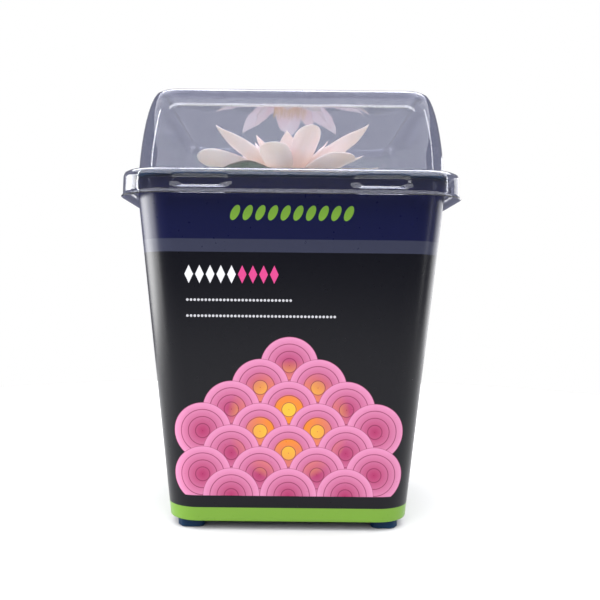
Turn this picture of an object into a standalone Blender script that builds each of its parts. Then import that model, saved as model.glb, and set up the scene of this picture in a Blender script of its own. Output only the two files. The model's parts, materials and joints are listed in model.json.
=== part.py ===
"""A dwarf water lily in flower, potted in coconut fibre in a square tub with a printed sleeve and a clear dome lid.

Metres, +Z up. The origin is on the floor under the middle of the tub, and the printed front faces -Y.
"""

import math

import bmesh
import bpy
from mathutils import Matrix, Vector, noise

# Driving dimensions
CORNER_STEPS = 5  # flat stretches in each rounded corner
GAP = 0.0003  # clearance between neighbouring pieces

TUB_WALL = 0.0009
TUB_FLOOR_HEIGHT = 0.0040  # the feet hold the floor this far up
TUB_RIM_HEIGHT = 0.1779
TUB_RIM_HALF = 0.0793
TUB_RIM_DEPTH = 0.0020  # how far the turned-down rim hangs

SLEEVE_WALL = 0.0005
SLEEVE_FOOT = 0.0048
SLEEVE_TOP = 0.1752  # under the lid's skirt, just below the turned-down rim
SLEEVE_FOOT_HALF = 0.0614
SLEEVE_TOP_HALF = 0.0779
SLEEVE_FOOT_CORNER = 0.0170
SLEEVE_TOP_CORNER = 0.0191

LID_WALL = 0.0006
LID_CREST = 0.2205
LID_RECESS_FLOOR = 0.2143
LID_RECESS_HALF = 0.0605
LID_LEDGE = 0.1788
LID_SKIRT_HALF = 0.0838
LID_LIP_HALF = 0.0846
LID_LIP_HEIGHT = 0.1668
DENT_DEPTH = 0.0044  # the dents catch under the tub's rim
DENT_LONG = 0.0260
DENT_TALL = 0.0048

COIR_TOP = 0.1500
COIR_MIDDLE = 0.1470  # the hollow in which the rootstock lies

RHIZOME_RADII = Vector((0.0150, 0.0110, 0.0068))
RHIZOME_MIDDLE = Vector((0.0, 0.0, COIR_MIDDLE + RHIZOME_RADII.z + 3 * GAP))
LEAF_STALK_RADIUS = 0.0013
FLOWER_STALK_RADIUS = 0.0020

PAD_THICKNESS = 0.0008
PAD_SLIT = 20  # degrees
PADS = {
    # name: (middle, radius, lean about X in degrees, lean about Y, where the slit points)
    "pad_front": (Vector((-0.0185, -0.0435, 0.1755)), 0.0200, -25, 13, 80),
    "pad_right": (Vector((0.0430, -0.0060, 0.1735)), 0.0280, 3, -9, 20),
    "pad_back": (Vector((-0.0020, 0.0440, 0.1760)), 0.0275, -7, 3, 95),
    "pad_left": (Vector((-0.0460, 0.0120, 0.1700)), 0.0260, 2, 8, 200),
}

FLOWER_FOOT = Vector((-0.0010, -0.0100, 0.1815))
RECEPTACLE_PROFILE = (
    # (radius, height above the flower's foot), from the top down its outer side
    (0.0, 0.0085),
    (0.0048, 0.0085),
    (0.0060, 0.0056),
    (0.0068, 0.0035),
    (0.0064, 0.0014),
    (0.0024, 0.0),
    (0.0, 0.0),
)
RECEPTACLE_TOP = RECEPTACLE_PROFILE[0][1]
PETAL_THICKNESS = 0.0007
# Shares of a petal's half width, from its claw to its tip
PETAL_OUTLINE = (0.26, 0.88, 1.02, 0.40)
PETAL_TIP = 0.09  # how far the middle of the tip stands before its sides, as a share of the length
WHORLS = {
    # name: (height above the flower's foot, distance from its axis,
    #        (bearing, rise and roll in degrees, length and width in millimetres) of each petal)
    # A bearing is taken from +X, and a roll turns a petal about its own length.
    "sepal": (0.0022, 0.0073, (
        (238, 2, 0, 44, 15), (330, 4, -4, 48, 15), (57, 3, 0, 44, 15), (147, 2, 0, 45, 15))),
    "outer_petal": (0.0040, 0.0074, (
        (199, 13, 34, 48, 16), (255, 21, 6, 36, 17), (311, 10, -10, 43, 17), (351, 8, 0, 44, 15),
        (30, 12, 0, 44, 15), (72, 13, 0, 44, 15), (114, 13, 0, 44, 15), (158, 9, 0, 44, 15))),
    "middle_petal": (0.0060, 0.0067, (
        (213, 29, 10, 47, 14), (293, 42, 0, 34, 16), (327, 28, -14, 50, 13), (11, 21, 0, 40, 14),
        (50, 28, 0, 43, 14), (91, 29, 0, 43, 14), (132, 28, 0, 43, 14), (172, 21, 0, 40, 14))),
    "inner_petal": (0.0079, 0.0059, (
        (266, 48, 0, 26, 10), (331, 33, -12, 29, 8), (5, 50, 0, 25, 10), (54, 50, 0, 26, 10),
        (104, 52, 0, 25, 10), (155, 50, 0, 26, 10), (209, 51, 0, 25, 10))),
}
STAMENS_AROUND = 14


# Tools that every piece shares
def clear_scene():
    for obj in list(bpy.data.objects):
        bpy.data.objects.remove(obj)


def new_collection(name):
    collection = bpy.data.collections.new(name)
    bpy.context.scene.collection.children.link(collection)
    return collection


def new_material(name, colour, roughness, transmission=0.0):
    material = bpy.data.materials.new(name)
    material.use_nodes = True
    shader = material.node_tree.nodes["Principled BSDF"]
    shader.inputs["Base Color"].default_value = (*colour, 1.0)
    shader.inputs["Roughness"].default_value = roughness
    shader.inputs["Metallic"].default_value = 0.0
    shader.inputs["Transmission Weight"].default_value = transmission
    return material


def new_object(name, bm, collection, material=None):
    mesh = bpy.data.meshes.new(name)
    bm.to_mesh(mesh)
    bm.free()
    obj = bpy.data.objects.new(name, mesh)
    collection.objects.link(obj)
    if material:
        mesh.materials.append(material)
    else:
        obj.hide_render = True
        obj.display_type = "WIRE"
    return obj


def add_wall(obj, thickness, offset):
    """Thickens a sheet: an offset of -1 grows it against its normals, and 1 along them."""
    wall = obj.modifiers.new("wall", "SOLIDIFY")
    wall.thickness = thickness
    wall.offset = offset
    wall.use_even_offset = True


def add_boolean(obj, other, operation):
    join = obj.modifiers.new(other.name, "BOOLEAN")
    join.object = other
    join.operation = operation


def add_turning(obj, steps, degrees=360):
    turning = obj.modifiers.new("turning", "SCREW")
    turning.angle = math.radians(degrees)
    turning.steps = turning.render_steps = steps
    turning.use_merge_vertices = True
    turning.merge_threshold = 0.00005


def smooth(obj, sharp_angle):
    obj.data.shade_smooth()
    obj.data.set_sharp_from_angle(angle=math.radians(sharp_angle))


def loft(bm, rings):
    """Quads between rings of points. Where the rings climb anticlockwise, they face outwards."""
    faces = []
    for near, far in zip(rings, rings[1:]):
        for i in range(len(near)):
            j = (i + 1) % len(near)
            faces.append(bm.faces.new((near[i], near[j], far[j], far[i])))
    return faces


def rounded_square(bm, half, corner, height):
    """The points round a square with rounded corners, anticlockwise from above."""
    ring = []
    for quarter in range(4):
        turn = math.pi / 2 * quarter
        reach = (half - corner) * math.sqrt(2)
        middle = Vector((math.cos(turn + math.pi / 4), math.sin(turn + math.pi / 4), 0.0)) * reach
        for step in range(CORNER_STEPS + 1):
            angle = turn + math.pi / 2 * step / CORNER_STEPS
            point = middle + Vector((math.cos(angle), math.sin(angle), 0.0)) * corner
            ring.append(bm.verts.new((point.x, point.y, height)))
    return ring


def circle(bm, radius, height, points):
    turns = [math.tau * i / points for i in range(points)]
    return [bm.verts.new((radius * math.cos(t), radius * math.sin(t), height)) for t in turns]


def lofted_skin(levels, floor=True, top=False):
    """A skin through its levels, each (half width, corner radius, height)."""
    bm = bmesh.new()
    rings = [rounded_square(bm, *level) for level in levels]
    loft(bm, rings)
    if floor:
        bm.faces.new(reversed(rings[0]))
    if top:
        bm.faces.new(rings[-1])
    return bm


def rounded_bar(bm, centre, size, corner, axis, segments):
    """A block whose edges along one axis are rounded."""
    made = bmesh.ops.create_cube(bm, size=1.0)
    bmesh.ops.scale(bm, vec=size, verts=made["verts"])
    bmesh.ops.translate(bm, vec=centre, verts=made["verts"])
    along = {
        edge
        for vert in made["verts"]
        for edge in vert.link_edges
        if abs((edge.verts[1].co - edge.verts[0].co).normalized()[axis]) > 0.99
    }
    bmesh.ops.bevel(
        bm, geom=list(along), offset=corner, segments=segments, profile=0.5, affect="EDGES"
    )


# Tub: one moulding with a turned-down rim, feet under its corners and drain slots
def sleeve_half(height):
    share = (height - SLEEVE_FOOT) / (SLEEVE_TOP - SLEEVE_FOOT)
    return SLEEVE_FOOT_HALF + (SLEEVE_TOP_HALF - SLEEVE_FOOT_HALF) * share


def sleeve_corner(height):
    share = (height - SLEEVE_FOOT) / (SLEEVE_TOP - SLEEVE_FOOT)
    return SLEEVE_FOOT_CORNER + (SLEEVE_TOP_CORNER - SLEEVE_FOOT_CORNER) * share


def tub_level(height, inwards=0.0):
    """A level of the tub's outer wall, or of a skin that lies further inwards."""
    inset = SLEEVE_WALL + GAP + inwards
    return (sleeve_half(height) - inset, sleeve_corner(height) - inset, height)


def build_feet(name, collection, along_x):
    """Two sets of four pads, one set along X and one along Y, which make an L under each corner."""
    pad_long, pad_wide, pad_corner = 0.0130, 0.0085, 0.0036
    from_middle, to_side = 0.0490, 0.0522
    # The pads along Y stand a little higher, so that the two sets share no face.
    foot = 0.0 if along_x else 0.0002
    head = TUB_FLOOR_HEIGHT + 0.7 * TUB_WALL
    x, y = (from_middle, to_side) if along_x else (to_side, from_middle)
    plan = (pad_long, pad_wide) if along_x else (pad_wide, pad_long)
    bm = bmesh.new()
    for side_x in (-1, 1):
        for side_y in (-1, 1):
            centre = (x * side_x, y * side_y, (head + foot) / 2)
            rounded_bar(bm, centre, (*plan, head - foot), pad_corner, axis=2, segments=2)
    return new_object(name, bm, collection)


def build_drain_slots(collection):
    slot_wide, slot_long, slot_pitch = 0.0030, 0.0240, 0.0140
    columns, row_offset = 5, 0.0190
    bm = bmesh.new()
    for row in (-1, 1):
        for column in range(columns):
            x = (column - (columns - 1) / 2) * slot_pitch
            centre = (x, row * row_offset, TUB_FLOOR_HEIGHT)
            size = (slot_wide, slot_long, 6 * TUB_WALL)
            rounded_bar(bm, centre, size, slot_wide / 3, axis=2, segments=1)
    return new_object("drain_slots", bm, collection)


def build_tub(collection, guides, material):
    floor = (0.0575, 0.0140, TUB_FLOOR_HEIGHT)
    heel = (0.0597, 0.0155, TUB_FLOOR_HEIGHT + 0.0010)
    head = tub_level(TUB_RIM_HEIGHT - TUB_WALL)
    rim_inside = TUB_RIM_HALF - TUB_WALL
    rim_corner = head[1] + rim_inside - head[0]
    levels = [
        floor,
        heel,
        tub_level(TUB_FLOOR_HEIGHT + 0.0032),
        head,
        (rim_inside, rim_corner, head[2]),
        (rim_inside, rim_corner, TUB_RIM_HEIGHT - TUB_RIM_DEPTH),
    ]
    tub = new_object("tub", lofted_skin(levels), collection, material)
    add_wall(tub, TUB_WALL, offset=-1)
    add_boolean(tub, build_feet("feet_along_x", guides, along_x=True), "UNION")
    add_boolean(tub, build_feet("feet_along_y", guides, along_x=False), "UNION")
    add_boolean(tub, build_drain_slots(guides), "DIFFERENCE")
    smooth(tub, sharp_angle=40)


# Sleeve: a printed wrap that narrows with the tub
def build_sleeve(collection, material):
    levels = [(sleeve_half(z), sleeve_corner(z), z) for z in (SLEEVE_FOOT, SLEEVE_TOP)]
    sleeve = new_object("sleeve", lofted_skin(levels, floor=False), collection, material)
    add_wall(sleeve, SLEEVE_WALL, offset=-1)
    smooth(sleeve, sharp_angle=40)


# Lid: a clear formed sheet with a stacking recess, a domed wall, a skirt with holding dents and a lip
def build_dents(name, collection, long, tall, inner, outer):
    """Two pills on each side of the skirt, between two distances from the middle."""
    from_middle, height = 0.0430, 0.1725
    depth, reach = outer - inner, (outer + inner) / 2
    bm = bmesh.new()
    for side in (-1, 1):
        for place in (-from_middle, from_middle):
            across_y = ((place, side * reach, height), (long, depth, tall))
            across_x = ((side * reach, place, height), (depth, long, tall))
            rounded_bar(bm, *across_y, 0.45 * tall, axis=1, segments=2)
            rounded_bar(bm, *across_x, 0.45 * tall, axis=0, segments=2)
    return new_object(name, bm, collection)


def build_lid(collection, guides, material):
    levels = [
        # The recess that takes the foot of the next tub
        (LID_RECESS_HALF, 0.0080, LID_RECESS_FLOOR),
        (LID_RECESS_HALF + 0.0012, 0.0088, LID_RECESS_FLOOR + 0.0007),
        (LID_RECESS_HALF + 0.0034, 0.0100, LID_CREST - 0.0006),
        # The crest and the domed wall
        (0.0655, 0.0109, LID_CREST),
        (0.0674, 0.0119, LID_CREST - 0.0003),
        (0.0692, 0.0127, 0.2187),
        (0.0718, 0.0142, 0.2120),
        (0.0738, 0.0155, 0.2045),
        (0.0756, 0.0167, 0.1935),
        (0.0767, 0.0175, LID_LEDGE + 0.0012),
        # The ledge over the tub's rim, and the skirt
        (0.0773, 0.0178, LID_LEDGE),
        (0.0818, 0.0200, LID_LEDGE),
        (LID_SKIRT_HALF - 0.0002, 0.0210, LID_LEDGE - 0.0020),
        (LID_SKIRT_HALF, 0.0212, LID_LIP_HEIGHT + 0.0010),
        # The flared lip
        (LID_LIP_HALF, 0.0218, LID_LIP_HEIGHT),
    ]
    lid = new_object("lid", lofted_skin(levels), collection, material)
    add_wall(lid, LID_WALL, offset=1)
    skirt_inside = LID_SKIRT_HALF - LID_WALL
    backs = build_dents(
        "dent_backs",
        guides,
        DENT_LONG + 2 * LID_WALL,
        DENT_TALL + 2 * LID_WALL,
        skirt_inside - DENT_DEPTH,
        skirt_inside + LID_WALL / 2,
    )
    clear_of_skirt = 0.0020
    hollows = build_dents(
        "dent_hollows",
        guides,
        DENT_LONG,
        DENT_TALL,
        LID_SKIRT_HALF - DENT_DEPTH,
        LID_SKIRT_HALF + clear_of_skirt,
    )
    add_boolean(lid, backs, "UNION")
    add_boolean(lid, hollows, "DIFFERENCE")
    smooth(lid, sharp_angle=60)


# Coconut fibre: a block that fills the tub, with a lumpy top and a hollow in its middle
def build_coir(collection, material):
    lump_height, lump_size, hollow_reach = 0.0030, 0.0130, 0.0240
    clearance = TUB_WALL + GAP
    edge = tub_level(COIR_TOP - 0.0020, clearance)
    levels = [
        (0.0560, 0.0120, TUB_FLOOR_HEIGHT + clearance),
        tub_level(TUB_FLOOR_HEIGHT + 0.0050, clearance),
        edge,
    ]
    for share in (0.95, 0.78, 0.60, 0.42, 0.24, 0.10):
        levels.append((edge[0] * share, edge[1] * share, COIR_TOP))
    bm = lofted_skin(levels, top=True)
    for vert in bm.verts:
        if vert.co.z < COIR_TOP - GAP:
            continue
        out = min(vert.co.xy.length / hollow_reach, 1.0)
        lump = noise.noise(Vector((vert.co.x, vert.co.y, 0.0)) / lump_size) * lump_height
        vert.co.z = COIR_MIDDLE + (COIR_TOP + lump - COIR_MIDDLE) * out**2
    coir = new_object("coir_fill", bm, collection, material)
    smooth(coir, sharp_angle=60)


# Rootstock and stalks
def build_rhizome(collection, material):
    bm = bmesh.new()
    bmesh.ops.create_icosphere(bm, subdivisions=2, radius=1.0)
    bmesh.ops.scale(bm, vec=RHIZOME_RADII, verts=bm.verts)
    rhizome = new_object("rhizome", bm, collection, material)
    rhizome.location = RHIZOME_MIDDLE
    smooth(rhizome, sharp_angle=180)


def build_stalk(name, head, head_direction, radius, collection, material):
    """A round stalk that leaves the rootstock square to it, and ends square to what it carries."""
    steepness = 0.060
    towards = Vector((head.x, head.y, steepness)).normalized()
    foot = RHIZOME_MIDDLE + Vector(r * t for r, t in zip(RHIZOME_RADII, towards))
    square = Vector(t / r for r, t in zip(RHIZOME_RADII, towards)).normalized()
    foot += square * GAP
    span = (head - foot).length
    curve = bpy.data.curves.new(name, "CURVE")
    curve.dimensions = "3D"
    curve.resolution_u = 5
    curve.bevel_depth = radius
    curve.bevel_resolution = 1
    curve.use_fill_caps = True
    spline = curve.splines.new("BEZIER")
    spline.bezier_points.add(1)
    ends = ((foot, square, 0.15 * span), (head, head_direction, 0.45 * span))
    for knot, (point, direction, reach) in zip(spline.bezier_points, ends):
        knot.handle_left_type = knot.handle_right_type = "FREE"
        knot.co = point
        knot.handle_left = point - direction * reach
        knot.handle_right = point + direction * reach
    curve.materials.append(material)
    collection.objects.link(bpy.data.objects.new(name, curve))


# Lily pads: round leaves with a slit, each on its own stalk
def build_pad(name, collection, material):
    middle, radius, lean_x, lean_y, slit = PADS[name]
    # The blade dips at its stalk and lifts a little at its edge.
    lift, turns = 0.10 * radius, 20
    bm = bmesh.new()
    line = [bm.verts.new((radius * share, 0.0, lift * share**2)) for share in (0.0, 0.55, 1.0)]
    for near, far in zip(line, line[1:]):
        bm.edges.new((near, far))
    pad = new_object(name, bm, collection, material)
    add_turning(pad, turns, 360 - PAD_SLIT)
    add_wall(pad, PAD_THICKNESS, offset=0)
    pad.location = middle
    pad.rotation_mode = "ZYX"
    pad.rotation_euler = [math.radians(angle) for angle in (lean_x, lean_y, slit + PAD_SLIT / 2)]
    return pad.rotation_euler.to_matrix() @ Vector((0.0, 0.0, 1.0))


# Flower
def build_receptacle(collection, material):
    bm = bmesh.new()
    line = [bm.verts.new((radius, 0.0, height)) for radius, height in RECEPTACLE_PROFILE]
    for near, far in zip(line, line[1:]):
        bm.edges.new((near, far))
    receptacle = new_object("receptacle", bm, collection, material)
    add_turning(receptacle, 12)
    receptacle.location = FLOWER_FOOT


def build_petal(name, height, distance, petal, collection, material):
    bearing, rise, roll, length, width = petal
    length, width = length / 1000, width / 1000
    rows, cup, arch = len(PETAL_OUTLINE) - 1, 0.22, 0.05
    bm = bmesh.new()
    bmesh.ops.create_grid(bm, x_segments=2, y_segments=rows, size=1.0)
    for vert in bm.verts:
        across, along = vert.co.x, (vert.co.y + 1) / 2
        half = PETAL_OUTLINE[round(along * rows)] * width / 2
        if along == 1:
            along -= PETAL_TIP * across**2
        # The edges stand up, and the blade hangs between its claw and its tip.
        edge_lift = cup * width * across**2 * math.sin(math.pi * (0.15 + 0.75 * along))
        sag = arch * length * math.sin(math.pi * along)
        vert.co = Vector((half * across, length * along, edge_lift - sag))
    petal_object = new_object(name, bm, collection, material)
    rounding = petal_object.modifiers.new("rounding", "SUBSURF")
    rounding.levels = rounding.render_levels = 1
    add_wall(petal_object, PETAL_THICKNESS, offset=0)
    turn = math.radians(bearing)
    out = Vector((math.cos(turn), math.sin(turn), 0.0))
    petal_object.location = FLOWER_FOOT + out * distance + Vector((0.0, 0.0, height))
    petal_object.rotation_mode = "YXZ"
    petal_object.rotation_euler = (math.radians(rise), math.radians(roll), turn - math.pi / 2)
    smooth(petal_object, sharp_angle=60)


def build_stamens(collection, material):
    """A low collar from which the stamens grow in two rows."""
    collar = 0.0012
    inner, between, outer = 0.0016, 0.0031, 0.0046
    bm = bmesh.new()
    foot_inner, foot_outer, head_outer, head_between, head_inner = (
        circle(bm, radius, height, STAMENS_AROUND)
        for radius, height in (
            (inner, 0.0), (outer, 0.0), (outer, collar), (between, collar), (inner, collar)
        )
    )
    loft(bm, (head_inner, foot_inner, foot_outer, head_outer))
    heads = loft(bm, (head_outer, head_between, head_inner))
    bmesh.ops.inset_individual(bm, faces=heads, thickness=0.00016)
    # Each stretch of a stamen: how far it climbs and leans out, and how much it widens
    for climb, lean, widening in ((0.0100, 0.0022, 0.9), (0.0070, 0.0006, 0.5)):
        heads = bmesh.ops.extrude_discrete_faces(bm, faces=heads)["faces"]
        for head in heads:
            middle = head.calc_center_median()
            out = Vector((middle.x, middle.y, 0.0))
            row_lean = lean * (1.8 if out.length > between else 0.5)
            step = out.normalized() * row_lean + Vector((0.0, 0.0, climb))
            bmesh.ops.scale(
                bm, vec=(widening, widening, 1.0), verts=head.verts, space=Matrix.Translation(-middle)
            )
            bmesh.ops.translate(bm, vec=step, verts=head.verts)
    crown = new_object("stamens", bm, collection, material)
    crown.location = FLOWER_FOOT + Vector((0.0, 0.0, RECEPTACLE_TOP + GAP))


def build_flower(collection, stalk_green, sepal_green, petal_pink, stamen_yellow):
    upright = Vector((0.0, 0.0, 1.0))
    head = FLOWER_FOOT - upright * GAP
    build_stalk("flower_stalk", head, upright, FLOWER_STALK_RADIUS, collection, stalk_green)
    build_receptacle(collection, sepal_green)
    for whorl, (height, distance, petals) in WHORLS.items():
        tissue = sepal_green if whorl == "sepal" else petal_pink
        for number, petal in enumerate(petals, start=1):
            build_petal(f"{whorl}_{number}", height, distance, petal, collection, tissue)
    build_stamens(collection, stamen_yellow)


def main():
    clear_scene()
    pieces = new_collection("potted_water_lily")
    guides = new_collection("cutters_and_joined_shapes")

    build_tub(pieces, guides, new_material("blue_plastic", (0.012, 0.045, 0.190), 0.35))
    build_sleeve(pieces, new_material("printed_sleeve", (0.012, 0.013, 0.018), 0.30))
    clear_plastic = new_material("clear_plastic", (0.93, 0.94, 0.97), 0.04, transmission=1.0)
    build_lid(pieces, guides, clear_plastic)
    build_coir(pieces, new_material("coir", (0.150, 0.070, 0.030), 0.95))
    build_rhizome(pieces, new_material("root", (0.090, 0.060, 0.030), 0.80))

    stalk_green = new_material("stalk_green", (0.170, 0.190, 0.060), 0.50)
    pad_green = new_material("pad_green", (0.045, 0.150, 0.050), 0.40)
    for name in PADS:
        square = build_pad(name, pieces, pad_green)
        head = PADS[name][0] - square * (PAD_THICKNESS / 2 + GAP)
        build_stalk(f"{name}_stalk", head, square, LEAF_STALK_RADIUS, pieces, stalk_green)
    build_flower(
        pieces,
        stalk_green,
        sepal_green=new_material("sepal_green", (0.330, 0.330, 0.180), 0.50),
        petal_pink=new_material("petal_pink", (0.830, 0.560, 0.580), 0.45),
        stamen_yellow=new_material("stamen_yellow", (0.850, 0.480, 0.050), 0.50),
    )


main()
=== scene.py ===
"""The looks of a dwarf water lily in flower, potted in coconut fibre in a square tub under a clear lid.

Metres, +Z up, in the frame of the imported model. The printed front faces -Y.
"""

import json
import math
import random

import bmesh
import bpy
from mathutils import Matrix, Vector

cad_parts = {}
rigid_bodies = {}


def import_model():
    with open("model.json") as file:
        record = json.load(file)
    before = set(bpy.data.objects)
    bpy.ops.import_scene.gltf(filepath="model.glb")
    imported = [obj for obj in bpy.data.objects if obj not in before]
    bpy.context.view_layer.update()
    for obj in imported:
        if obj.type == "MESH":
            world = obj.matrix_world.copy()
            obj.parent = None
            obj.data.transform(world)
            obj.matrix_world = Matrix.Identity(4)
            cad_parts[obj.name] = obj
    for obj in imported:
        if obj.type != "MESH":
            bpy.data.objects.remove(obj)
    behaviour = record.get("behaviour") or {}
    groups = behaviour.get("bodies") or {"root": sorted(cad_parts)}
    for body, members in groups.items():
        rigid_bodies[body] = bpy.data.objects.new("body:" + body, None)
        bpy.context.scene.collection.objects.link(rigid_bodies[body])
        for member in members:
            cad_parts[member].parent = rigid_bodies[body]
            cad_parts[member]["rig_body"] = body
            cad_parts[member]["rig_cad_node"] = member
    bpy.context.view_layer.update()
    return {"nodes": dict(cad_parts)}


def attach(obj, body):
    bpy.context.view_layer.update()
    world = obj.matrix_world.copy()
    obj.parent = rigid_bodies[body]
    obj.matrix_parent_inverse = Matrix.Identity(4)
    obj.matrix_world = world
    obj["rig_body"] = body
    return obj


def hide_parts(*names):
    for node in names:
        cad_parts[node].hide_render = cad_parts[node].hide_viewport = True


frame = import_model()


# Camera: square on to the printed front, a little above the middle of the tub, with a slight roll
# and a small sideways shift, as the photograph was framed.
camera = bpy.data.objects.new("camera", bpy.data.cameras.new("camera"))
camera.location = (0.0, -0.410, 0.1163)
camera.rotation_euler = (math.radians(90), math.radians(-0.6), 0.0)
camera.data.lens = 41.58
camera.data.sensor_width = 36.0
camera.data.shift_x = 0.0165
camera.data.clip_start = 0.01
bpy.context.scene.collection.objects.link(camera)
bpy.context.scene.camera = camera


# Tub: an injection moulding in deep blue plastic, tapered so that tubs nest. Its wall ends in a
# turned-down rim under the lid's ledge, it stands on a pair of pads under each corner, and its floor
# has two rows of drain slots.
TUB_WALL = 0.0009
TUB_FLOOR = 0.0040
TUB_RIM_TOP = 0.1779
TUB_RIM_HALF = 0.0793
TUB_RIM_HANG = 0.0020
SLEEVE_WALL = 0.0005
SLEEVE_FOOT = 0.0048
SLEEVE_TOP = 0.1752
SLEEVE_HALF = (0.0614, 0.0779)
SLEEVE_CORNER = (0.0170, 0.0191)
CLEARANCE = 0.0003
CORNER_STEPS = 12
PAD_OF_FOOT = (0.0130, 0.0085, 0.0036)  # long, wide, corner radius
PLACE_OF_FOOT = (0.0490, 0.0522)  # from the tub's middle, along a wall and towards it
FOOT_CHAMFER = 0.0006
SLOT_WIDE, SLOT_LONG, SLOT_PITCH = 0.0030, 0.0240, 0.0140
SLOT_COLUMNS = 5
SLOT_ROW = 0.0190


def taper(pair, height):
    """What a tapered measure is at a height: the pair holds it at the sleeve's foot and top."""
    share = (height - SLEEVE_FOOT) / (SLEEVE_TOP - SLEEVE_FOOT)
    return pair[0] + (pair[1] - pair[0]) * share


def tapered_level(height, inwards):
    return (taper(SLEEVE_HALF, height) - inwards, taper(SLEEVE_CORNER, height) - inwards, height)


def select_only(*pieces):
    bpy.ops.object.select_all(action="DESELECT")
    for piece in pieces:
        piece.select_set(True)
    bpy.context.view_layer.objects.active = pieces[0]


def edit(piece):
    """Opens one piece alone in edit mode, with nothing picked."""
    select_only(piece)
    bpy.ops.object.mode_set(mode="EDIT")
    bpy.ops.mesh.select_all(action="DESELECT")


def leave_edit():
    bpy.ops.object.mode_set(mode="OBJECT")


def pick(kind, test):
    """Picks the VERT, EDGE or FACE elements of the piece in edit mode that pass a test."""
    bpy.ops.mesh.select_mode(type=kind)
    bpy.ops.mesh.select_all(action="DESELECT")
    mesh = bpy.context.object.data
    shape = bmesh.from_edit_mesh(mesh)
    elements = {"VERT": shape.verts, "EDGE": shape.edges, "FACE": shape.faces}[kind]
    for element in elements:
        if test(element):
            element.select_set(True)
    shape.select_flush_mode()
    bmesh.update_edit_mesh(mesh)


def apply_place(piece):
    select_only(piece)
    bpy.ops.object.transform_apply(location=True, rotation=True, scale=True)


def add_modifier(piece, kind, **settings):
    """Adds one modifier with its settings and applies it."""
    modifier = piece.modifiers.new(kind.lower(), kind)
    for name, value in settings.items():
        setattr(modifier, name, value)
    select_only(piece)
    bpy.ops.object.modifier_apply(modifier=modifier.name)


def rounded_plane(half, corner, height, steps):
    """A flat rounded square, added to what is being edited and left picked."""
    bpy.ops.mesh.primitive_plane_add(size=2 * half, location=(0.0, 0.0, height))
    bpy.ops.mesh.bevel(offset=corner, segments=steps, affect="VERTICES")


def square_skin(name, levels, closed_end_faces_up, steps=CORNER_STEPS):
    """A skin bridged through rounded squares, each (half width, corner, height), closed at the first."""
    bpy.ops.object.select_all(action="DESELECT")
    bpy.ops.mesh.primitive_plane_add(size=2 * levels[0][0], location=(0.0, 0.0, 0.0))
    piece = bpy.context.object
    piece.name = name
    bpy.ops.object.mode_set(mode="EDIT")
    bpy.ops.mesh.select_mode(type="VERT")
    bpy.ops.mesh.select_all(action="SELECT")
    bpy.ops.mesh.bevel(offset=levels[0][1], segments=steps, affect="VERTICES")
    bpy.ops.transform.translate(value=(0.0, 0.0, levels[0][2]))
    for level in levels[1:]:
        rounded_plane(*level, steps)
        bpy.ops.mesh.delete(type="ONLY_FACE")
        bpy.ops.mesh.select_non_manifold(extend=False)
        bpy.ops.mesh.bridge_edge_loops()
    bpy.ops.mesh.select_all(action="SELECT")
    bpy.ops.mesh.normals_make_consistent(inside=False)
    closed_end = max(bmesh.from_edit_mesh(piece.data).faces, key=lambda face: len(face.verts))
    if (closed_end.normal.z > 0) != closed_end_faces_up:
        bpy.ops.mesh.flip_normals()
    leave_edit()
    return piece


def split_long_runs(piece, length, cuts):
    """Cuts the four straight sides of a skin across, through all its levels."""
    edit(piece)
    pick("EDGE", lambda edge: edge.calc_length() > length and edge.verts[0].co.z == edge.verts[1].co.z)
    bpy.ops.mesh.subdivide(number_cuts=cuts)
    leave_edit()


def rounded_block(size, centre, corner, segments):
    """A block whose upright edges are rounded, left selected and active."""
    bpy.ops.object.select_all(action="DESELECT")
    bpy.ops.mesh.primitive_cube_add(size=1.0, location=centre)
    block = bpy.context.object
    block.scale = size
    apply_place(block)
    edit(block)
    pick("EDGE", lambda edge: abs(edge.verts[0].co.z - edge.verts[1].co.z) > size[2] / 2)
    bpy.ops.mesh.bevel(offset=corner, segments=segments, affect="EDGES")
    leave_edit()
    return block


def join_or_cut(piece, other, operation):
    add_modifier(piece, "BOOLEAN", object=other, operation=operation)
    bpy.data.objects.remove(other)


def smooth(piece, sharp_angle):
    select_only(piece)
    bpy.ops.object.shade_smooth_by_angle(angle=math.radians(sharp_angle))


class Reading:
    """A number at each point of a surface. Arithmetic on readings adds Math nodes to their material."""

    def __init__(self, socket):
        self.socket = socket

    def math(self, operation, *others, clamp=False):
        node = self.socket.id_data.nodes.new("ShaderNodeMath")
        node.operation = operation
        node.use_clamp = clamp
        for entry, value in zip(node.inputs, (self, *others)):
            if isinstance(value, Reading):
                self.socket.id_data.links.new(value.socket, entry)
            else:
                entry.default_value = value
        return Reading(node.outputs["Value"])

    def __add__(self, other):
        return self.math("ADD", other)

    def __sub__(self, other):
        return self.math("SUBTRACT", other)

    def __mul__(self, other):
        return self.math("MULTIPLY", other)

    def __truediv__(self, other):
        return self.math("DIVIDE", other)

    def __pow__(self, other):
        return self.math("POWER", other)

    def __abs__(self):
        return self.math("ABSOLUTE")

    def __neg__(self):
        return self * -1.0

    def below(self, limit, soft):
        """1 where the reading is under the limit, and 0 above it, with a soft edge of that width."""
        return (-(self - limit) / soft).math("ADD", 0.5, clamp=True)

    def between(self, low, high, soft):
        return self.below(high, soft) * (-self).below(-low, soft)


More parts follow.
